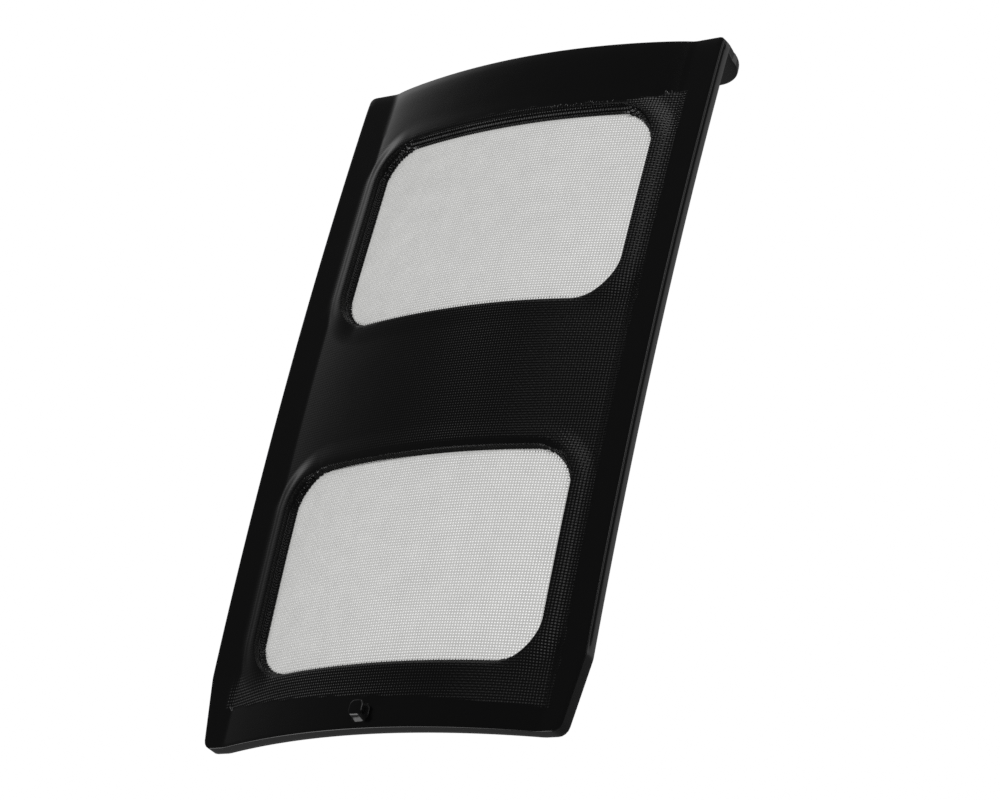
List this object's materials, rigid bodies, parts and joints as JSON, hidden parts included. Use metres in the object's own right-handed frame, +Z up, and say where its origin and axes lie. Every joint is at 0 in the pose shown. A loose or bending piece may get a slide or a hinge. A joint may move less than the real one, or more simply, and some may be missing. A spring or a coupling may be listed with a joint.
{
  "type": "mesh filter screen",
  "caption": "Arched black plastic panel with rounded windows covered by fine woven cloth, a tab folded back along its top edge and a small catch nib near its foot.",
  "frame": {"origin": "middle of the foot edge, half way through the wall on the centre line", "axes": "+X across the screen, +Y backwards with the convex front facing -Y, +Z up from the foot to the top tab"},
  "size_m": [0.05, 0.0115, 0.0857],
  "materials": {
    "frame_plastic": "black moulded plastic, satin, with the weave of the captured cloth showing on the front between the rails",
    "woven_mesh": "off-white plain-weave monofilament filter cloth, about a third of a millimetre pitch"
  },
  "bodies": {
    "root": {"frame": "frame_plastic", "mesh_sheet": "woven_mesh"}
  },
  "joints": []
}
